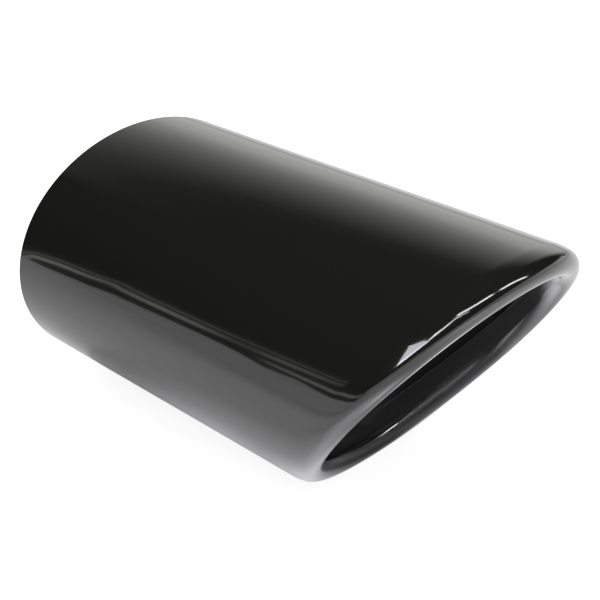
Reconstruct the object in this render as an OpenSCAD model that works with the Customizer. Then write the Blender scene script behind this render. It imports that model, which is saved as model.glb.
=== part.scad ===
// Oval slash-cut exhaust tip: one rolled sheet with its mouth edge turned in.
// +X runs along the sleeve towards the mouth, +Y across its long axis, +Z up.
// The origin is the centre of the square-cut inlet end.

/* [Sleeve] */
// Outside width of the oval, across its long axis
sleeve_w = 100; // [80:1:130]
// Outside height of the oval
sleeve_h = 78; // [64:1:100]
// Length on the centre line, from the inlet edge to the plane of the mouth
sleeve_l = 128; // [100:1:180]
// Thickness of the sheet
sheet_t = 1.5; // [1:0.1:2]

/* [Mouth] */
// Angle of the slash cut away from square, with the top overhanging
cut_angle = 33; // [0:1:40]
// How far the wall draws in over the soft shoulder before the lip
shoulder_drop = 0.5; // [0.2:0.1:1.5]
// Angle that the shoulder turns through
shoulder_turn = 14; // [8:1:24]
// Outside radius of the turned-in lip
lip_r = 4; // [3:0.25:6]
// Straight return of the sheet behind the lip
lip_return = 6; // [2:0.5:12]

/* [Hidden] */
// Stations round the oval, and steps across the shoulder and the lip
stations = 96;
shoulder_steps = 4;
lip_steps = 12;
half_turn = 180;
half_w = sleeve_w / 2;
half_h = sleeve_h / 2;
along = [1, 0, 0];
// On the axis, the centre line of the lip's roll lies this far behind the plane of the mouth
lip_setback = lip_r / cos(cut_angle);
// The same centre line lies this far inside the wall
lip_inset = shoulder_drop + lip_r * cos(shoulder_turn);

function unit(v) = v / norm(v);

// Outward normal of the sleeve's wall at parameter angle u round the oval
function wall_normal(u) = unit([0, half_h * cos(u), half_w * sin(u)]);

// Direction of the lip along the slanted mouth
function lip_run(u) =
    unit([tan(cut_angle) * half_h * cos(u), -half_w * sin(u), half_h * cos(u)]);

// Direction that the lip faces, square to its run and to the wall's normal
function lip_front(u) = cross(wall_normal(u), lip_run(u));

// Normal of the sheet where it has turned by an angle from the wall towards the mouth
function sheet_normal(u, turn) = cos(turn) * wall_normal(u) + sin(turn) * lip_front(u);

// Centre of the lip's roll: it follows the oval inside the wall, and the slash cut
function roll_centre(u) =
    let (p = [0, half_w * cos(u), half_h * sin(u)] - lip_inset * wall_normal(u))
    p + (sleeve_l - lip_setback + tan(cut_angle) * p.z) * along;

// Point of the lip, at a depth under the outside of the sheet
function lip_point(u, depth, turn) =
    roll_centre(u) + (lip_r - depth) * sheet_normal(u, turn);

// Point of the shoulder, from 0 where it leaves the wall to 1 where it meets the lip.
// It is an arc along the sleeve, and less steep where the slash cut runs at a slant to it.
function shoulder_point(u, depth, share) =
    let (
        slant = lip_front(u).x,
        end = atan(slant * tan(shoulder_turn)),
        r = shoulder_drop / (1 - cos(end)),
        a = share * end,
        outside = lip_point(u, 0, shoulder_turn)
            + r * (cos(a) - cos(end)) * wall_normal(u)
            - r * (sin(end) - sin(a)) * along
    )
    outside - depth * sheet_normal(u, atan(tan(a) / slant));

// Point of the wall at the inlet end
function inlet_point(u, depth) =
    let (p = shoulder_point(u, depth, 0))
    [0, p.y, p.z];

// Point of the lip as the share of its turn goes from 0 at the shoulder to 1 at the return
function rolled_point(u, depth, share) =
    lip_point(u, depth, shoulder_turn + share * (half_turn - shoulder_turn));

// One face of the sheet, from the inlet over the shoulder and the lip to the end of the return
function sheet_face(u, depth) = [
    inlet_point(u, depth),
    for (i = [0:shoulder_steps - 1]) shoulder_point(u, depth, i / shoulder_steps),
    for (i = [0:lip_steps]) rolled_point(u, depth, i / lip_steps),
    rolled_point(u, depth, 1) - lip_return * along
];

// Closed section of the sheet: its outside, then its inside back to the inlet
function sheet_section(u) =
    let (
        outside = sheet_face(u, 0),
        inside = sheet_face(u, sheet_t)
    )
    concat(outside, [for (i = [len(inside) - 1:-1:0]) inside[i]]);

// Closed skin through sections of equal length that follow each other round a loop
module loop_skin(sections) {
    n = len(sections);
    m = len(sections[0]);
    points = [for (section = sections) each section];
    faces = [
        for (i = [0:n - 1], j = [0:m - 1])
            let (
                a = i * m + j,
                b = i * m + (j + 1) % m,
                c = ((i + 1) % n) * m + (j + 1) % m,
                d = ((i + 1) % n) * m + j
            )
            each [[a, b, c], [a, c, d]]
    ];
    polyhedron(points = points, faces = faces);
}

// The whole tip: sleeve, shoulder, turned-in lip and return in one sheet, gloss black all over
module tip_shell() {
    color([0.02, 0.02, 0.02])
        loop_skin([for (i = [0:stations - 1]) sheet_section(360 * i / stations)]);
}

tip_shell();
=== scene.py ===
"""A gloss-black oval exhaust tip on a white table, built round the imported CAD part.

Lengths are in metres. The sheet's form repeats the named values of the part's own source.
"""

import logging
import math
from collections.abc import Sequence
from dataclasses import dataclass
from enum import Enum

import bpy
import numpy as np
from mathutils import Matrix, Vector


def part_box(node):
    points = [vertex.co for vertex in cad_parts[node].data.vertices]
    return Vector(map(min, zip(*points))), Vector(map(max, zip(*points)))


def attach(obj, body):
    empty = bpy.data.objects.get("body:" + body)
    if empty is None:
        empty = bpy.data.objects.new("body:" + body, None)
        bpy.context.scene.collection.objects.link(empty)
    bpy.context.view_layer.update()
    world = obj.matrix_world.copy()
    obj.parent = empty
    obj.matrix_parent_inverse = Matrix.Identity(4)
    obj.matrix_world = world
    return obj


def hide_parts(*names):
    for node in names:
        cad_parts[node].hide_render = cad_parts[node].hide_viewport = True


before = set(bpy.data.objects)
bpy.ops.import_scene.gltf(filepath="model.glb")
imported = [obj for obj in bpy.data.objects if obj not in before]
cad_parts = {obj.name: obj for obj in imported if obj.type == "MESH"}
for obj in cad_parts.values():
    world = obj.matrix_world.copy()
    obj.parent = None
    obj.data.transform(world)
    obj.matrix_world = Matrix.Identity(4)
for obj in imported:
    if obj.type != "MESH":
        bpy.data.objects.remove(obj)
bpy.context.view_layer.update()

log = logging.getLogger("exhaust_tip")

Pair = tuple[float, float]
Triple = tuple[float, float, float]
Socket = bpy.types.NodeSocket

MM = 0.001
ALONG = np.array([1.0, 0.0, 0.0])
WHITE = (1.0, 1.0, 1.0)
CARD_LAYER = "glow"


class RayKind(Enum):
    """Kinds of ray that a stage material can tell apart."""

    CAMERA = "Is Camera Ray"
    GLOSSY = "Is Glossy Ray"
    DIFFUSE = "Is Diffuse Ray"
    TRANSMISSION = "Is Transmission Ray"


class Side(Enum):
    """The two faces of the sheet, by their share of its thickness."""

    OUTER = 0.0
    INNER = 1.0


class SheetLayer(Enum):
    """Point layers that tell the coat where on the sheet it lies."""

    HAZE = "haze"
    INSIDE = "inside"
    CUT_EDGE = "cut_edge"


def in_radians(*degrees: float) -> tuple[float, ...]:
    """Return angles, given in degrees, in radians."""
    return tuple(math.radians(angle) for angle in degrees)


def scaled(vector: np.ndarray, factor: np.ndarray) -> np.ndarray:
    """Return each row of vector times the factor of the same row."""
    return vector * np.asarray(factor)[:, None]


def unit(vector: np.ndarray) -> np.ndarray:
    """Return the rows of vector at length 1."""
    return vector / np.linalg.norm(vector, axis=1)[:, None]


def add_object(name: str, data: bpy.types.ID) -> bpy.types.Object:
    """Make an object and put it in the scene.

    Args:
        name: what it is called.
        data: its mesh, lamp or camera.

    Returns:
        The object.
    """
    made = bpy.data.objects.new(name, data)
    bpy.context.scene.collection.objects.link(made)
    return made


def look_along(viewer: bpy.types.Object, sight: Vector) -> None:
    """Turn a lamp or a camera to look along a direction."""
    viewer.rotation_mode = "QUATERNION"
    viewer.rotation_quaternion = sight.to_track_quat("-Z", "Y")


class NodeBench:
    """A short way to lay and link the nodes of one node tree."""

    def __init__(self, tree: bpy.types.NodeTree) -> None:
        """Clear the tree and keep it.

        Args:
            tree: the node tree of a material or world.
        """
        tree.nodes.clear()
        self.tree = tree

    def add(self, kind: str, **settings: object) -> bpy.types.Node:
        """Add a node.

        Args:
            kind: Blender's name of the node type.
            **settings: properties to set on it.

        Returns:
            The new node.
        """
        node = self.tree.nodes.new(kind)
        for name, value in settings.items():
            setattr(node, name, value)
        return node

    def feed(self, socket: Socket, value: object) -> None:
        """Link a socket to value, or set it where value is plain.

        Args:
            socket: the input to fill.
            value: an output socket, a number or a tuple.
        """
        if isinstance(value, Socket):
            self.tree.links.new(value, socket)
        else:
            socket.default_value = value

    def layer(self, name: str) -> Socket:
        """Return the value of one of the mesh's point layers."""
        return self.add("ShaderNodeAttribute", attribute_name=name).outputs["Fac"]

    def math(self, operation: str, *values: object, clamp: bool = False) -> Socket:
        """Add a Math node.

        Args:
            operation: its operation.
            *values: what goes into its inputs, in order.
            clamp: whether the result is kept between 0 and 1.

        Returns:
            Its output.
        """
        node = self.add("ShaderNodeMath", operation=operation, use_clamp=clamp)
        for socket, value in zip(node.inputs, values):
            self.feed(socket, value)
        return node.outputs[0]

    def noise(self, place: Socket, scale: float, detail: float) -> Socket:
        """Add a 3-D noise.

        Args:
            place: the coordinates.
            scale: features per metre.
            detail: octaves of finer noise.

        Returns:
            Its value, about 0.5 on average.
        """
        node = self.add("ShaderNodeTexNoise")
        self.feed(node.inputs["Vector"], place)
        self.feed(node.inputs["Scale"], scale)
        self.feed(node.inputs["Detail"], detail)
        return node.outputs[0]

    def span(self, value: Socket, source: Pair, target: Pair) -> Socket:
        """Map a value smoothly from one range to another and stop at its ends.

        Args:
            value: the value to map.
            source: its range.
            target: the range to reach.

        Returns:
            The mapped value.
        """
        node = self.add("ShaderNodeMapRange", interpolation_type="SMOOTHSTEP")
        for socket, item in zip(node.inputs, (value, *source, *target)):
            self.feed(socket, item)
        return node.outputs[0]

    def between(self, share: Socket, low: Socket, high: Socket) -> Socket:
        """Mix two numbers.

        Args:
            share: 0 for low, 1 for high.
            low: the number at 0.
            high: the number at 1.

        Returns:
            The mixed number.
        """
        node = self.add("ShaderNodeMix", data_type="FLOAT")
        self.feed(node.inputs["Factor"], share)
        self.feed(node.inputs[2], low)
        self.feed(node.inputs[3], high)
        return node.outputs[0]

    def tint(self, share: Socket, low: Socket | Triple, high: Triple) -> Socket:
        """Mix two colours.

        Args:
            share: 0 for low, 1 for high.
            low: the colour at 0, a socket or a linear colour.
            high: linear colour at 1.

        Returns:
            The mixed colour.
        """
        node = self.add("ShaderNodeMix", data_type="RGBA")
        self.feed(node.inputs["Factor"], share)
        self.feed(node.inputs[6], (*low, 1.0) if isinstance(low, tuple) else low)
        self.feed(node.inputs[7], (*high, 1.0))
        return node.outputs[2]

    def pool(self, place: Socket, centre: Triple, radii: Triple) -> Socket:
        """Make a soft round pool.

        Args:
            place: the coordinates.
            centre: its middle.
            radii: its reach each way.

        Returns:
            1 in the middle, down to 0 at its reach.
        """
        value = place
        for operation, item in (("SUBTRACT", centre), ("DIVIDE", radii)):
            node = self.add("ShaderNodeVectorMath", operation=operation)
            self.feed(node.inputs[0], value)
            self.feed(node.inputs[1], item)
            value = node.outputs[0]
        length = self.add("ShaderNodeVectorMath", operation="LENGTH")
        self.feed(length.inputs[0], value)
        return self.span(length.outputs["Value"], (0.0, 1.0), (1.0, 0.0))

    def by_ray(self, levels: dict[RayKind, object]) -> Socket:
        """Add up a strength that depends on the kind of ray.

        Args:
            levels: the strength for each kind of ray, a number or a socket.

        Returns:
            The strength.
        """
        rays = self.add("ShaderNodeLightPath").outputs
        total = None
        for kind, level in levels.items():
            part = self.math("MULTIPLY", rays[kind.value], level)
            total = part if total is None else self.math("ADD", total, part)
        return total

    def shine(self, tint: Triple, strength: Socket) -> Socket:
        """Add a light.

        Args:
            tint: its linear colour.
            strength: how bright it is.

        Returns:
            Its shader.
        """
        node = self.add("ShaderNodeEmission")
        self.feed(node.inputs["Color"], (*tint, 1.0))
        self.feed(node.inputs["Strength"], strength)
        return node.outputs[0]

    def close(self, shader: Socket, kind: str = "ShaderNodeOutputMaterial") -> None:
        """Give the finished shader to a new output node."""
        self.feed(self.add(kind).inputs["Surface"], shader)


def new_material(name: str) -> tuple[bpy.types.Material, NodeBench]:
    """Make an empty node material.

    Args:
        name: what it is called.

    Returns:
        The material and the bench of its nodes.
    """
    made = bpy.data.materials.new(name)
    made.use_nodes = True
    return made, NodeBench(made.node_tree)


@dataclass(frozen=True)
class GlossBlackPaint:
    """Black base coat under clear lacquer, baked on the sheet inside and out.

    Colours are linear, and the lighter black inside the tip is painted fill light. A pair of
    roughnesses is where the faint clouds in the coat are thin and where they are thick.
    """

    name: str = "gloss_black_coat"
    black: Triple = (0.0133, 0.0133, 0.0125)
    hazy_black: Triple = (0.012, 0.012, 0.0123)
    # Lighter than the outer black: painted fill light standing in for light inside the tip
    inner_black_with_painted_light: Triple = (0.056, 0.056, 0.055)
    worn_black: Triple = (0.06, 0.06, 0.059)
    edge_wear: float = 0.8
    outer_roughness: Pair = (0.08, 0.13)
    hazy_roughness: Pair = (0.4, 0.48)
    dusty_roughness: float = 0.3
    clouds_per_metre: float = 22.0
    cloud_detail: float = 3.0
    cloud_span: Pair = (0.3, 0.7)
    bend_of_light: float = 1.5
    lacquer_roughness: float = 0.02
    hazy_lacquer: float = 0.04
    haze_thins_lacquer: Pair = (0.0, 0.4)
    peel_size: float = 1.8 * MM
    peel_detail: float = 1.5
    peel_depth: float = 0.0006 * MM
    speck_spacing: float = 2.2 * MM
    speck_radius: Pair = (0.03, 0.055)
    speck_rarity: Pair = (0.93, 0.95)
    speck_height: float = 2.0

    def dust(self, bench: NodeBench, place: Socket) -> Socket:
        """Scatter the few small specks of dust that the coat caught.

        Args:
            bench: the bench of the material.
            place: the coordinates.

        Returns:
            1 on a speck, 0 off it.
        """
        cells = bench.add("ShaderNodeTexVoronoi", feature="F1")
        bench.feed(cells.inputs["Vector"], place)
        bench.feed(cells.inputs["Scale"], 1 / self.speck_spacing)
        speck = bench.span(cells.outputs["Distance"], self.speck_radius, (1.0, 0.0))
        rare = bench.span(cells.outputs["Color"], self.speck_rarity, (0.0, 1.0))
        return bench.math("MULTIPLY", speck, rare)

    def colour(self, bench: NodeBench, haze: Socket, worn: Socket) -> Socket:
        """Mix the base colour: hazy in the lip, lighter inside with painted fill light, pale
        where worn.

        Args:
            bench: the bench of the material.
            haze: how hazy the coat is.
            worn: how worn or dusty it is.

        Returns:
            The base colour.
        """
        outside = bench.tint(haze, self.black, self.hazy_black)
        # Lighter black inside the tip: painted fill light
        clean = bench.tint(bench.layer(SheetLayer.INSIDE.value), outside, self.inner_black_with_painted_light)
        return bench.tint(worn, clean, self.worn_black)

    def roughness(self, bench: NodeBench, place: Socket, haze: Socket, dust: Socket) -> Socket:
        """Vary the base coat's roughness in faint clouds, and raise it in haze and dust.

        Args:
            bench: the bench of the material.
            place: the coordinates.
            haze: how hazy the coat is.
            dust: where it holds a speck.

        Returns:
            The roughness.
        """
        cloud = bench.noise(place, self.clouds_per_metre, self.cloud_detail)
        outer = bench.span(cloud, self.cloud_span, self.outer_roughness)
        hazy = bench.span(cloud, self.cloud_span, self.hazy_roughness)
        dusty = bench.math("MULTIPLY", dust, self.dusty_roughness)
        return bench.math("ADD", bench.between(haze, outer, hazy), dusty, clamp=True)

    def relief(self, bench: NodeBench, place: Socket, dust: Socket) -> Socket:
        """Raise the faint orange peel, and the specks above it.

        Args:
            bench: the bench of the material.
            place: the coordinates.
            dust: where the coat holds a speck.

        Returns:
            The bumped normal.
        """
        peel = bench.noise(place, 1 / self.peel_size, self.peel_detail)
        specks = bench.math("MULTIPLY", dust, self.speck_height)
        bump = bench.add("ShaderNodeBump")
        bench.feed(bump.inputs["Strength"], 1.0)
        bench.feed(bump.inputs["Distance"], self.peel_depth)
        bench.feed(bump.inputs["Height"], bench.math("ADD", peel, specks))
        return bump.outputs[0]

    def material(self) -> bpy.types.Material:
        """Build the node material.

        Returns:
            The finished material.
        """
        made, bench = new_material(self.name)
        place = bench.add("ShaderNodeTexCoord").outputs["Object"]
        haze = bench.layer(SheetLayer.HAZE.value)
        dust = self.dust(bench, place)
        edge = bench.math("MULTIPLY", bench.layer(SheetLayer.CUT_EDGE.value), self.edge_wear)
        worn = bench.math("MAXIMUM", edge, dust, clamp=True)
        relief = self.relief(bench, place, dust)
        finish = {
            "Base Color": self.colour(bench, haze, worn),
            "Roughness": self.roughness(bench, place, haze, dust),
            "IOR": self.bend_of_light,
            "Coat Weight": bench.span(haze, self.haze_thins_lacquer, (1.0, self.hazy_lacquer)),
            "Coat Roughness": self.lacquer_roughness,
            "Coat IOR": self.bend_of_light,
            "Normal": relief,
            "Coat Normal": relief,
        }
        shader = bench.add("ShaderNodeBsdfPrincipled")
        for name, value in finish.items():
            bench.feed(shader.inputs[name], value)
        bench.close(shader.outputs[0])
        return made


@dataclass
class TipShell:
    """The one rolled sheet: oval sleeve, soft shoulder, turned-in lip and its short return.

    Places round the oval are angles from +Y over the top. A turn is how far the sheet has
    turned from the wall over the mouth's edge: half a turn at the return.
    """

    half_width: float
    half_height: float
    reach: float
    sheet: float = 1.5 * MM
    cut_angle: float = math.radians(33)
    shoulder_drop: float = 0.5 * MM
    shoulder_turn: float = math.radians(14)
    lip_radius: float = 4 * MM
    lip_return: float = 6 * MM
    edge_radius: float = 0.25 * MM
    # The coat is hazy in the lip's lower half: it grows in and fades out at these places
    haze_places: tuple[float, float, float, float] = in_radians(185, 205, 315, 343)
    # Turns at which the haze starts, at two places, and how much turn it takes to be full
    haze_starts: Pair = in_radians(92, 74)
    haze_start_places: Pair = in_radians(240, 266)
    haze_grows: float = math.radians(24)
    # Turns at which it stops, at three places, and how much turn it takes to be gone
    haze_stops: Triple = in_radians(143, 129, 177)
    haze_stop_places: Triple = in_radians(245, 277, 308)
    haze_fades: float = math.radians(6)
    # Turns between which the outer face starts to count as the inside of the tip, which takes the
    # painted fill light
    inside_turns: Pair = in_radians(150, 175)
    return_wear: float = 0.6
    inlet_wear: float = 1.0
    # Unevenness of a rolled sheet: waves round the oval, waves along it and size in mm
    waves: tuple[tuple[int, float, float], ...] = (
        (2, 0.6, 0.05),
        (3, 1.1, 0.025),
        (5, 1.7, 0.01),
        (8, 2.6, 0.004),
        (13, 3.9, 0.0016),
    )
    wave_seed: int = 7
    stations: int = 360
    wall_rings: int = 44
    shoulder_rings: int = 10
    lip_rings: int = 34
    return_rings: int = 5
    edge_rings: int = 4
    paint: GlossBlackPaint = GlossBlackPaint()

    def __post_init__(self) -> None:
        """Work out the directions round the oval, and the line that the lip's roll follows."""
        self.turn = np.linspace(0.0, math.tau, self.stations, endpoint=False)
        around, up = np.cos(self.turn), np.sin(self.turn)
        nothing = np.zeros(self.stations)
        slope = math.tan(self.cut_angle)
        oval = np.column_stack([nothing, self.half_width * around, self.half_height * up])
        self.outward = unit(
            np.column_stack([nothing, self.half_height * around, self.half_width * up])
        )
        run = unit(
            np.column_stack(
                [
                    slope * self.half_height * around,
                    -self.half_width * up,
                    self.half_height * around,
                ]
            )
        )
        self.front = np.cross(self.outward, run)
        inset = self.shoulder_drop + self.lip_radius * math.cos(self.shoulder_turn)
        self.roll = oval - inset * self.outward
        top = slope * (self.half_height - inset)
        self.roll[:, 0] = self.reach - self.lip_radius - top + slope * self.roll[:, 2]

    def normal(self, turn: np.ndarray | float) -> np.ndarray:
        """Return the sheet's normal where it has made a turn."""
        angle = np.broadcast_to(turn, (self.stations,))
        return scaled(self.outward, np.cos(angle)) + scaled(self.front, np.sin(angle))

    def lip_turns(self) -> np.ndarray:
        """Return the turns of the lip's rings."""
        return np.linspace(self.shoulder_turn, math.pi, self.lip_rings)

    def lip_ring(self, depth: float, turn: float) -> np.ndarray:
        """Return the ring of the lip at a turn and at a depth under the sheet's outside."""
        return self.roll + (self.lip_radius - depth) * self.normal(turn)

    def shoulder_ring(self, depth: float, share: float) -> np.ndarray:
        """Work out one ring of the shoulder.

        Args:
            depth: distance under the sheet's outside.
            share: 0 where it leaves the wall, 1 where it meets the lip.

        Returns:
            The ring's points.
        """
        slant = self.front[:, 0]
        end = np.arctan(slant * math.tan(self.shoulder_turn))
        radius = self.shoulder_drop / (1 - np.cos(end))
        angle = share * end
        outside = self.lip_ring(0.0, self.shoulder_turn)
        outside = outside + scaled(self.outward, radius * (np.cos(angle) - np.cos(end)))
        outside = outside - np.outer(radius * (np.sin(end) - np.sin(angle)), ALONG)
        return outside - depth * self.normal(np.arctan(np.tan(angle) / slant))

    def wall_ring(self, depth: float, share: float, gap: float = 0.0) -> np.ndarray:
        """Work out one ring of the straight wall.

        Args:
            depth: distance under the sheet's outside.
            share: 0 at the inlet, 1 where the shoulder starts.
            gap: distance from the inlet's plane at share 0.

        Returns:
            The ring's points.
        """
        ring = self.shoulder_ring(depth, 0.0)
        ring[:, 0] = gap + share * (ring[:, 0] - gap)
        return ring

    def return_ring(self, depth: float, back: float) -> np.ndarray:
        """Return the ring of the return at a distance behind the end of the lip's half turn."""
        return self.lip_ring(depth, math.pi) - back * ALONG

    def face(self, side: Side) -> list[np.ndarray]:
        """Work out one face of the sheet, from the inlet to the end of the return.

        Args:
            side: which face.

        Returns:
            Its rings, in order.
        """
        depth = self.sheet * side.value
        shares = np.linspace(0.0, 1.0, self.wall_rings, endpoint=False)
        rings = [self.wall_ring(depth, s, self.edge_radius) for s in shares]
        rings.insert(1, self.wall_ring(depth, 0.0, 2 * self.edge_radius))
        for s in np.linspace(0.0, 1.0, self.shoulder_rings, endpoint=False):
            rings.append(self.shoulder_ring(depth, s))
        for turn in self.lip_turns():
            rings.append(self.lip_ring(depth, turn))
        straight = self.lip_return - self.edge_radius
        for back in np.linspace(0.0, straight, self.return_rings + 1)[1:]:
            rings.append(self.return_ring(depth, back))
        return rings

    def edge_turns(self) -> np.ndarray:
        """Return the angles of the rings across one softened corner, without its ends."""
        return np.linspace(0.0, math.pi / 2, self.edge_rings + 2)[1:-1]

    def return_edge(self) -> list[np.ndarray]:
        """Work out the sheet's cut edge at the end of the return, from outside to inside.

        Returns:
            Its rings, in order.
        """
        soft, corner = self.edge_radius, self.lip_return - self.edge_radius
        rings = [
            self.return_ring(soft * (1 - math.cos(a)), corner + soft * math.sin(a))
            for a in self.edge_turns()
        ]
        rings.append(self.return_ring(soft, self.lip_return))
        rings.append(self.return_ring(self.sheet - soft, self.lip_return))
        for a in self.edge_turns():
            depth = self.sheet - soft * (1 - math.sin(a))
            rings.append(self.return_ring(depth, corner + soft * math.cos(a)))
        return rings

    def inlet_edge(self) -> list[np.ndarray]:
        """Work out the square-cut edge at the inlet, from inside to outside.

        Returns:
            Its rings, in order.
        """
        soft = self.edge_radius
        rings = [
            self.wall_ring(self.sheet - soft * (1 - math.cos(a)), 0.0, soft * (1 - math.sin(a)))
            for a in self.edge_turns()
        ]
        rings.append(self.wall_ring(self.sheet - soft, 0.0, 0.0))
        rings.append(self.wall_ring(soft, 0.0, 0.0))
        for a in self.edge_turns():
            rings.append(self.wall_ring(soft * (1 - math.sin(a)), 0.0, soft * (1 - math.cos(a))))
        return rings

    def unevenness(self, points: np.ndarray) -> np.ndarray:
        """Work out how far a real rolled sheet stands off the true oval.

        Args:
            points: places on the sheet, one ring to a row.

        Returns:
            The offset along the outward normal at each place.
        """
        dice = np.random.default_rng(self.wave_seed)
        along = points[..., 0] / self.reach
        offset = np.zeros(along.shape)
        for waves_round, waves_along, size in self.waves:
            phase, shift = dice.uniform(0.0, math.tau, 2)
            offset += size * MM * np.sin(waves_round * self.turn + phase) * np.cos(
                math.tau * waves_along * along + shift
            )
        return offset

    def outer_haze(self) -> np.ndarray:
        """Work out the outer face's haze: the coat is sprayed thinly inside the lip, low down.

        Returns:
            The haze at each ring and station.
        """
        turns = self.lip_turns()[:, None]
        start = np.interp(self.turn, self.haze_start_places, self.haze_starts)
        stop = np.interp(self.turn, self.haze_stop_places, self.haze_stops)
        on_lip = np.clip((turns - start) / self.haze_grows, 0.0, 1.0)
        on_lip = on_lip * np.clip((stop - turns) / self.haze_fades, 0.0, 1.0)
        on_lip = on_lip * np.interp(self.turn, self.haze_places, (0.0, 1.0, 1.0, 0.0))
        return self.on_outer_face(on_lip, 0.0)

    def outer_inside(self) -> np.ndarray:
        """Work out where the outer face, turned in behind the lip, counts as the inside and takes
        the painted fill light.

        Returns:
            0 outside to 1 on the return, at each ring and station.
        """
        start, full = self.inside_turns
        on_lip = np.clip((self.lip_turns()[:, None] - start) / (full - start), 0.0, 1.0)
        return self.on_outer_face(on_lip * np.ones(self.stations), 1.0)

    def on_outer_face(self, on_lip: np.ndarray, on_return: float) -> np.ndarray:
        """Spread values given on the lip's rings over all rings of the outer face.

        Args:
            on_lip: the values on the lip.
            on_return: the value on the return. It is 0 before the lip.

        Returns:
            The value at each ring and station.
        """
        before = np.zeros((self.wall_rings + 1 + self.shoulder_rings, self.stations))
        behind = np.full((self.return_rings, self.stations), on_return)
        return np.concatenate([before, on_lip, behind])

    def coat_layers(self, outer: int, cut: int, inlet: int, count: int) -> dict[str, np.ndarray]:
        """Work out what the coat has to know at each point.

        Args:
            outer: how many rings the outer face has.
            cut: how many rings the return's cut edge has.
            inlet: how many rings the inlet's edge has.
            count: how many rings there are in all.

        Returns:
            The values of each layer, by its name, at each ring and station.
        """
        haze, inside, edge = np.zeros((3, count, self.stations))
        haze[:outer] = self.outer_haze()
        inside[:outer] = self.outer_inside()
        inside[outer + cut : -inlet] = 1.0
        edge[outer : outer + cut] = self.return_wear
        edge[-inlet:] = self.inlet_wear
        return {
            SheetLayer.HAZE.value: haze,
            SheetLayer.INSIDE.value: inside,
            SheetLayer.CUT_EDGE.value: edge,
        }

    def quads(self, count: int) -> np.ndarray:
        """Work out the faces between rings, of which the last is joined to the first.

        Args:
            count: how many rings there are.

        Returns:
            The four points of each face.
        """
        ring, station = np.meshgrid(np.arange(count), np.arange(self.stations), indexing="ij")
        next_ring, next_station = (ring + 1) % count, (station + 1) % self.stations
        corners = (
            (ring, station),
            (next_ring, station),
            (next_ring, next_station),
            (ring, next_station),
        )
        return np.stack([r * self.stations + s for r, s in corners], axis=-1).reshape(-1, 4)

    def build(self) -> bpy.types.Object:
        """Build the sheet's closed mesh, dress it and place it on its body.

        Returns:
            The finished piece.
        """
        outer, inner = self.face(Side.OUTER), self.face(Side.INNER)
        cut, inlet = self.return_edge(), self.inlet_edge()
        rings = np.array(outer + cut + inner[::-1] + inlet)
        rings = rings + self.unevenness(rings)[..., None] * self.outward
        quads = self.quads(len(rings))
        mesh = bpy.data.meshes.new("tip_sheet")
        mesh.from_pydata(rings.reshape(-1, 3).tolist(), [], quads.tolist())
        mesh.shade_smooth()
        layers = self.coat_layers(len(outer), len(cut), len(inlet), len(rings))
        for name, values in layers.items():
            layer = mesh.attributes.new(name, "FLOAT", "POINT")
            layer.data.foreach_set("value", values.ravel().astype(np.float32))
        mesh.validate()
        piece = add_object("tip_sheet", mesh)
        piece.data.materials.append(self.paint.material())
        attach(piece, "root")
        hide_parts("tip_shell")
        log.info("%s: %d quads", piece.name, len(quads))
        return piece


@dataclass(frozen=True)
class CardFinish:
    """Board that shines as bright, from place to place, as the card's point layer says."""

    name: str
    tint: Triple

    def material(self) -> bpy.types.Material:
        """Build the node material.

        Returns:
            The finished material.
        """
        made, bench = new_material(self.name)
        bench.close(bench.shine(self.tint, bench.layer(CARD_LAYER)))
        return made


@dataclass
class LightCard:
    """A strip of lit or unlit board that the gloss paint mirrors and the camera never sees.

    It spans from one edge to another. Each row is a share of the way and its light, and each
    column has its own factor of light.
    """

    name: str
    edge: Sequence[Triple]
    far_edge: Sequence[Triple]
    rows: Sequence[Pair]
    columns: Sequence[float] = ()
    tint: Triple = WHITE

    @classmethod
    def standing(
        cls,
        name: str,
        foot: Sequence[Triple],
        rows: Sequence[Pair],
        columns: Sequence[float] = (),
        tint: Triple = WHITE,
    ) -> "LightCard":
        """Stand a card upright on the line of its foot.

        Args:
            name: what it is called.
            foot: the line that its heights count from.
            rows: pairs of height and light, from the lowest.
            columns: a factor of light for each point of the foot.
            tint: its colour.

        Returns:
            The card, ready to build.
        """
        a_metre_up = [(x, y, z + 1.0) for x, y, z in foot]
        return cls(name, foot, a_metre_up, rows, columns, tint)

    def build(self) -> bpy.types.Object:
        """Build the card, row by row.

        Returns:
            The card.
        """
        edge, far_edge = np.array(self.edge), np.array(self.far_edge)
        count = len(edge)
        factors = np.array(self.columns or [1.0] * count)
        points = [edge + share * (far_edge - edge) for share, _ in self.rows]
        glow = [light * factors for _, light in self.rows]
        quads = [
            (r * count + c, r * count + c + 1, (r + 1) * count + c + 1, (r + 1) * count + c)
            for r in range(len(self.rows) - 1)
            for c in range(count - 1)
        ]
        mesh = bpy.data.meshes.new(self.name)
        mesh.from_pydata(np.concatenate(points).tolist(), [], quads)
        layer = mesh.attributes.new(CARD_LAYER, "FLOAT", "POINT")
        layer.data.foreach_set("value", np.concatenate(glow).astype(np.float32))
        card = add_object(self.name, mesh)
        mesh.materials.append(CardFinish(self.name, self.tint).material())
        card.visible_camera = False
        card.visible_diffuse = False
        card.visible_shadow = False
        card.visible_transmission = False
        log.info("stage %s", card.name)
        return card


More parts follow.
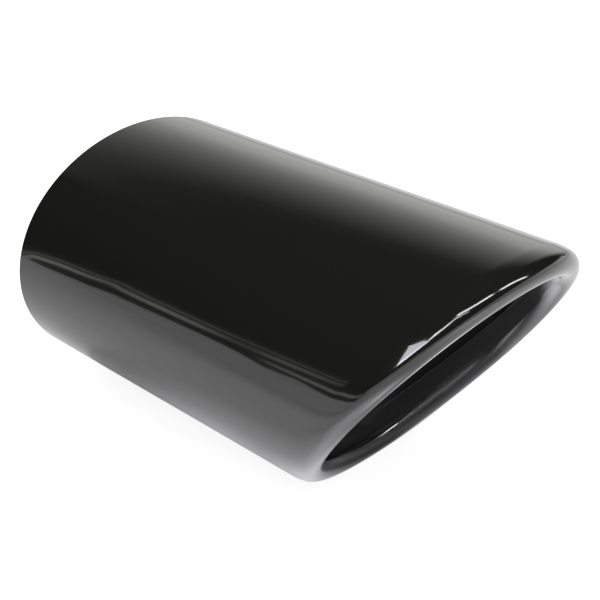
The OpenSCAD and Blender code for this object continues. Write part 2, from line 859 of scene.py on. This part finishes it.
@dataclass(frozen=True)
class TableFinish:
    """Matt board that is white to the camera, with soft pools of light that only gloss sees."""

    white: float = 0.72
    glow_seen: float = 0.8
    glow_mirrored: float = 0.06
    pool_tint: Triple = (0.97, 0.97, 1.03)
    # Middle in x and y, reach in x and y, and light of each pool
    pools: tuple[tuple[float, float, float, float, float], ...] = (
        (0.165, -0.080, 0.095, 0.080, 1.35),
        (0.182, -0.042, 0.028, 0.032, 1.45),
        (0.128, -0.062, 0.030, 0.025, 0.45),
        (0.144, 0.002, 0.036, 0.032, 0.3),
        (0.420, 0.050, 0.300, 0.170, 1.15),
        (0.600, -0.200, 0.550, 0.450, 0.4),
        (0.120, 0.036, 0.036, 0.034, 1.5),
        (0.075, -0.050, 0.060, 0.045, 0.33),
        (0.116, -0.038, 0.035, 0.033, 0.62),
        (0.080, -0.180, 0.230, 0.160, 0.36),
        (-0.200, -0.350, 0.350, 0.250, 0.08),
    )

    def material(self, level: float) -> bpy.types.Material:
        """Build the node material.

        Args:
            level: the height of the table.

        Returns:
            The finished material.
        """
        made, bench = new_material("white_table")
        board = bench.add("ShaderNodeBsdfDiffuse")
        bench.feed(board.inputs["Color"], (self.white, self.white, self.white, 1.0))
        place = bench.add("ShaderNodeTexCoord").outputs["Object"]
        pooled = self.glow_mirrored
        for x, y, along, across, light in self.pools:
            share = bench.pool(place, (x, y, level), (along, across, 1.0))
            pooled = bench.math("MULTIPLY_ADD", share, light, pooled)
        seen = {RayKind.CAMERA: self.glow_seen, RayKind.TRANSMISSION: self.glow_seen}
        total = board.outputs[0]
        for levels, tint in ((seen, WHITE), ({RayKind.GLOSSY: pooled}, self.pool_tint)):
            both = bench.add("ShaderNodeAddShader")
            bench.feed(both.inputs[0], total)
            bench.feed(both.inputs[1], bench.shine(tint, bench.by_ray(levels)))
            total = both.outputs[0]
        bench.close(total)
        return made


@dataclass(frozen=True)
class Table:
    """The white table that the object lies on, which keeps its soft shadow."""

    level: float
    half: float = 4.0
    finish: TableFinish = TableFinish()

    def build(self) -> bpy.types.Object:
        """Build the table.

        Returns:
            The table.
        """
        signs = ((-1, -1), (1, -1), (1, 1), (-1, 1))
        corners = [(x * self.half, y * self.half, self.level) for x, y in signs]
        mesh = bpy.data.meshes.new("white_table")
        mesh.from_pydata(corners, [], [(0, 1, 2, 3)])
        table = add_object("white_table", mesh)
        mesh.materials.append(self.finish.material(self.level))
        log.info("stage %s", table.name)
        return table


@dataclass(frozen=True)
class Room:
    """The room: white to the camera, dark to the gloss, and an even soft fill of light."""

    seen: float = 1.0
    fill: float = 0.55
    mirrored: float = 0.0

    def build(self) -> bpy.types.World:
        """Build the world.

        Returns:
            The world.
        """
        room = bpy.data.worlds.new("studio_room")
        bpy.context.scene.world = room
        room.use_nodes = True
        bench = NodeBench(room.node_tree)
        levels = {
            RayKind.CAMERA: self.seen,
            RayKind.TRANSMISSION: self.seen,
            RayKind.DIFFUSE: self.fill,
            RayKind.GLOSSY: self.mirrored,
        }
        back = bench.add("ShaderNodeBackground")
        bench.feed(back.inputs["Color"], (*WHITE, 1.0))
        bench.feed(back.inputs["Strength"], bench.by_ray(levels))
        bench.close(back.outputs[0], "ShaderNodeOutputWorld")
        return room


@dataclass(frozen=True)
class SoftLamp:
    """A soft lamp that lights the object and isn't mirrored in it.

    It hangs at its place and faces its aim, and its size is the width and height of its cloth.
    """

    name: str
    place: Triple
    aim: Triple
    size: Pair
    watts: float

    def build(self) -> bpy.types.Object:
        """Hang the lamp.

        Returns:
            The lamp.
        """
        data = bpy.data.lights.new(self.name, "AREA")
        data.shape = "RECTANGLE"
        data.size, data.size_y = self.size
        data.energy = self.watts
        lamp = add_object(self.name, data)
        lamp.location = self.place
        look_along(lamp, Vector(self.aim) - Vector(self.place))
        lamp.visible_camera = False
        lamp.visible_glossy = False
        log.info("lamp %s", self.name)
        return lamp


@dataclass(frozen=True)
class Backdrop:
    """The pale backdrop: tall behind the object, and only its foot round the front and right.

    Its cards stand on arcs round the centre, between two azimuths. Each step of a rise is an
    elevation from the centre, and the light there. Angles are in degrees.
    """

    centre: Pair = (0.075, 0.0)
    steps: int = 25
    rear_radius: float = 1.2
    rear_arc: Pair = (86, 190)
    rear_rise: tuple[Pair, ...] = (
        (-1.9, 0.66),
        (11, 0.72),
        (22, 0.46),
        (29, 0.3),
        (36, 0.14),
        (41, 0.03),
        (46, 0.0),
    )
    rear_lift: float = 0.039
    rear_tint: Triple = (1.0, 1.0, 0.95)
    # The rear card fades this fast at both ends, and dims along its arc from a first light
    end_fade: float = 8.0
    first_light: float = 1.18
    dimming: float = 0.5
    low_radius: float = 1.25
    low_arc: Pair = (-75, 92)
    low_rise: tuple[Pair, ...] = ((-1.9, 0.85), (2.0, 0.8), (4.0, 0.55), (7.0, 0.0))

    def arc(self, radius: float, ends: Pair) -> list[Triple]:
        """Work out an arc round the centre, at the object's own level.

        Args:
            radius: its radius.
            ends: the azimuths of its ends.

        Returns:
            Its points.
        """
        x, y = self.centre
        turns = np.radians(np.linspace(*ends, self.steps))
        return [(x + radius * math.cos(t), y + radius * math.sin(t), 0.0) for t in turns]

    def build(self) -> None:
        """Build both cards."""
        radius, fade = self.rear_radius, self.end_fade
        rows = [
            (radius * math.tan(math.radians(angle)) + self.rear_lift, light)
            for angle, light in self.rear_rise
        ]
        shares = [i / (self.steps - 1) for i in range(self.steps)]
        factors = [
            min(1.0, fade * s, fade * (1 - s), self.first_light - self.dimming * s)
            for s in shares
        ]
        foot = self.arc(radius, self.rear_arc)
        LightCard.standing("rear_card", foot, rows, factors, self.rear_tint).build()
        radius = self.low_radius
        rows = [(radius * math.tan(math.radians(angle)), light) for angle, light in self.low_rise]
        LightCard.standing("low_card", self.arc(radius, self.low_arc), rows).build()


@dataclass(frozen=True)
class SideLights:
    """The dark board beside the table on the near left, its pale foot and three thin lights.

    A line has x, z and a factor of light for each of its points, and stands a little in front
    of the board. Rows are pairs of height over the line, and light.
    """

    board: float = -0.402
    line_tint: Triple = (1.0, 1.0, 0.95)
    main_line: tuple[Triple, ...] = (
        (-0.470, -0.180, 1.0),
        (-0.430, -0.060, 1.0),
        (-0.412, 0.000, 1.0),
        (-0.384, 0.032, 1.0),
        (-0.352, 0.055, 0.8),
        (-0.331, 0.083, 0.65),
        (-0.320, 0.078, 0.7),
        (-0.301, 0.080, 0.85),
        (-0.281, 0.086, 1.0),
        (-0.243, 0.098, 0.8),
        (-0.215, 0.110, 0.3),
        (-0.200, 0.118, 0.25),
        (-0.175, 0.132, 0.7),
        (-0.150, 0.148, 0.6),
        (-0.130, 0.163, 0.35),
        (-0.110, 0.175, 0.1),
        (-0.090, 0.180, 0.0),
    )
    main_rows: tuple[Pair, ...] = (
        (-0.020, 0.0),
        (-0.013, 0.7),
        (0.004, 0.95),
        (0.010, 0.12),
        (0.016, 0.0),
    )
    # The upper line runs above the main one. It is lit more evenly, and dark at its end
    upper_lift: float = 0.031
    upper_least: float = 0.65
    upper_gain: float = 0.5
    upper_dark: int = 2
    upper_rows: tuple[Pair, ...] = (
        (-0.012, 0.05),
        (-0.003, 0.33),
        (0.003, 0.3),
        (0.012, 0.06),
        (0.03, 0.0),
    )
    lower_line: tuple[Triple, ...] = (
        (-0.185, 0.078, 0.0),
        (-0.172, 0.085, 0.6),
        (-0.150, 0.093, 0.9),
        (-0.130, 0.102, 1.0),
        (-0.100, 0.105, 1.0),
        (-0.050, 0.098, 1.0),
        (0.025, 0.078, 1.0),
        (0.100, 0.060, 0.9),
        (0.150, 0.042, 0.8),
        (0.200, 0.024, 0.7),
        (0.300, -0.030, 0.7),
    )
    lower_rows: tuple[Pair, ...] = ((-0.012, 0.0), (-0.007, 0.75), (0.006, 0.8), (0.012, 0.0))
    pale_foot: tuple[Triple, ...] = (
        (-0.470, -0.230, 0.76),
        (-0.415, -0.052, 0.76),
        (-0.381, -0.030, 0.76),
        (-0.345, -0.009, 0.76),
        (-0.318, 0.016, 0.76),
        (-0.291, 0.024, 0.8),
        (-0.233, 0.048, 0.85),
        (-0.200, 0.054, 0.88),
        (-0.172, 0.044, 0.87),
        (-0.145, 0.068, 0.92),
        (-0.130, 0.062, 0.95),
        (-0.100, 0.062, 1.0),
        (-0.050, 0.053, 1.0),
        (0.000, 0.044, 1.0),
        (0.100, 0.020, 1.0),
        (0.300, -0.080, 1.0),
    )
    pale_rows: tuple[Pair, ...] = ((-0.3, 0.85), (0.0, 0.85), (0.006, 0.0))
    pale_tint: Triple = (0.99, 0.99, 1.0)
    dark_rows: tuple[Pair, ...] = ((-0.09, 0.0), (0.1, 0.0))

    def upper_line(self) -> list[Triple]:
        """Work out the upper line from the main one.

        Returns:
            Its points and factors.
        """
        line = [
            (x, z + self.upper_lift, min(1.0, self.upper_least + self.upper_gain * factor))
            for x, z, factor in self.main_line
        ]
        dark = self.upper_dark
        return line[:-dark] + [(x, z, 0.0) for x, z, _ in line[-dark:]]

    def stand(
        self,
        name: str,
        line: Sequence[Triple],
        rows: Sequence[Pair],
        forward: float,
        tint: Triple,
    ) -> None:
        """Stand one card along a line.

        Args:
            name: what it is called.
            line: the line.
            rows: the heights and lights across it.
            forward: how far it stands in front of the board's face.
            tint: its colour.
        """
        foot = [(x, self.board + forward, z) for x, z, _ in line]
        factors = [factor for _, _, factor in line]
        LightCard.standing(name, foot, rows, factors, tint).build()

    def build(self) -> None:
        """Build the lights, the pale foot and the dark board behind them, a millimetre apart."""
        self.stand("main_line", self.main_line, self.main_rows, 2 * MM, self.line_tint)
        self.stand("upper_line", self.upper_line(), self.upper_rows, 1 * MM, self.line_tint)
        self.stand("lower_line", self.lower_line, self.lower_rows, 4 * MM, self.line_tint)
        self.stand("pale_foot", self.pale_foot, self.pale_rows, 3 * MM, self.pale_tint)
        evenly = [(x, z, 1.0) for x, z, _ in self.main_line]
        self.stand("dark_board", evenly, self.dark_rows, 0.0, self.line_tint)


@dataclass(frozen=True)
class Strip:
    """A slim light strip: its line has azimuth, elevation, and half widths down and up.

    Angles are in degrees. Each point of the line may have its own factor of light.
    """

    name: str
    line: tuple[tuple[float, float, float, float], ...]
    light: float
    columns: tuple[float, ...] = ()


@dataclass(frozen=True)
class LipLights:
    """The window and the strips in front of the mouth that the lip's crest mirrors."""

    near_lip: Triple = (0.142, -0.034, 0.028)
    # Azimuth and elevation of the window's corners, in degrees
    window_low: tuple[Pair, Pair] = ((-57, 20), (-32, 31))
    window_high: tuple[Pair, Pair] = ((-106, 57.5), (-54, 50))
    window_rows: tuple[Pair, ...] = ((0.0, 13.0), (0.14, 13.0), (0.2, 6.5), (1.0, 6.5))
    window_tint: Triple = (0.93, 0.93, 1.0)
    strips: tuple[Strip, ...] = (
        Strip(
            "left_strip",
            ((-36, 38, 7, 8), (-27, 42, 5, 5), (-18, 47, 4, 4), (-13, 51, 3, 3), (3, 40, 2, 2)),
            10.0,
            (1.0, 1.0, 1.0, 0.8, 0.5),
        ),
        Strip(
            "middle_strip",
            ((-13, 62, 4, 4), (3.5, 52, 4, 4), (14, 46, 4, 4), (27, 40.5, 4, 4)),
            11.0,
        ),
        Strip("right_strip", ((33, 37, 4, 4), (43, 30, 4, 4), (49.5, 18, 4, 4)), 11.0),
    )

    def toward(self, azimuth: float, elevation: float) -> Triple:
        """Work out the point one metre from the near lip in a direction.

        Args:
            azimuth: its angle from +X towards +Y, in degrees.
            elevation: its angle over the level, in degrees.

        Returns:
            The point.
        """
        a, e = in_radians(azimuth, elevation)
        x, y, z = self.near_lip
        return (
            x + math.cos(e) * math.cos(a),
            y + math.cos(e) * math.sin(a),
            z + math.sin(e),
        )

    def build(self) -> None:
        """Hang the window and the strips."""
        low = [self.toward(*corner) for corner in self.window_low]
        high = [self.toward(*corner) for corner in self.window_high]
        LightCard("window", low, high, self.window_rows, tint=self.window_tint).build()
        for strip in self.strips:
            low = [self.toward(a, e - down) for a, e, down, _ in strip.line]
            high = [self.toward(a, e + up) for a, e, _, up in strip.line]
            rows = [(0.0, strip.light), (1.0, strip.light)]
            LightCard(strip.name, low, high, rows, strip.columns).build()


@dataclass(frozen=True)
class Studio:
    """White table, dark room above it, the cards that the gloss mirrors, and soft lamps."""

    table: Table
    room: Room = Room()
    backdrop: Backdrop = Backdrop()
    side_lights: SideLights = SideLights()
    lip_lights: LipLights = LipLights()
    top_lamp: SoftLamp = SoftLamp(
        "top_lamp", (0.02, 0.22, 0.65), (0.06, 0.0, 0.0), (0.5, 0.5), 2.5
    )
    front_lamp: SoftLamp = SoftLamp(
        "front_lamp", (0.476, -0.45, 0.33), (0.1, 0.0, 0.0), (0.3, 0.3), 0.7
    )

    def build(self) -> None:
        """Build the whole studio."""
        self.room.build()
        self.table.build()
        self.backdrop.build()
        self.side_lights.build()
        self.lip_lights.build()
        self.top_lamp.build()
        self.front_lamp.build()


@dataclass(frozen=True)
class ViewingCamera:
    """The camera at the photograph's viewing angle."""

    place: Triple = (0.28796, -0.22495, 0.16641)
    sight: Triple = (-0.6133268, 0.63646594, -0.46769792)
    lens: float = 71.553
    sensor: float = 36.0
    nearest: float = 0.01
    farthest: float = 20.0

    def build(self) -> bpy.types.Object:
        """Make the camera and give it to the scene.

        Returns:
            The camera.
        """
        data = bpy.data.cameras.new("viewing_camera")
        data.lens = self.lens
        data.sensor_width = self.sensor
        data.clip_start = self.nearest
        data.clip_end = self.farthest
        camera = add_object("viewing_camera", data)
        camera.location = self.place
        look_along(camera, Vector(self.sight))
        bpy.context.scene.camera = camera
        return camera


def main() -> None:
    """Build the camera, the object and the studio."""
    logging.basicConfig(level=logging.INFO, format="%(message)s")
    bpy.context.scene.view_settings.view_transform = "Standard"
    ViewingCamera().build()
    low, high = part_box("tip_shell")
    TipShell(half_width=high.y, half_height=high.z, reach=high.x).build()
    Studio(Table(level=low.z)).build()


if __name__ == "__main__":
    main()
